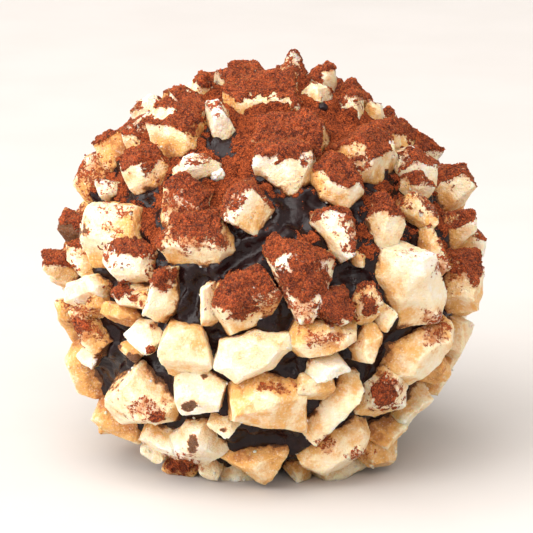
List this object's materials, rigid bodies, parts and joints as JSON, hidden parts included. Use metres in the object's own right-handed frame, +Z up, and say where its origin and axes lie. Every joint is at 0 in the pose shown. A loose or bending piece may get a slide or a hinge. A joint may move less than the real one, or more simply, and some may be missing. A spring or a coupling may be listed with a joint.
{
  "type": "chocolate truffle",
  "caption": "Hand-rolled ball of dark chocolate coated all over in chopped nuts, dusted with cocoa powder on top, resting on the flats of the chips underneath.",
  "frame": {"origin": "on the table, on the flat chip under the middle of the ball", "axes": "+Z up out of the table; the front of the truffle faces -Y; +X is to the right seen from the front"},
  "size_m": [0.0382, 0.038, 0.0351],
  "materials": {
    "truffle": "chopped nuts over glossy dark chocolate, with matt cocoa powder on top",
    "dark_chocolate": "glossy, wavy, nearly black brown",
    "chopped_nut": "cream to golden, with paler broken faces",
    "cocoa_powder": "matt, loose and grainy, rust brown"
  },
  "bodies": {
    "root": {"truffle": "truffle"}
  },
  "joints": []
}
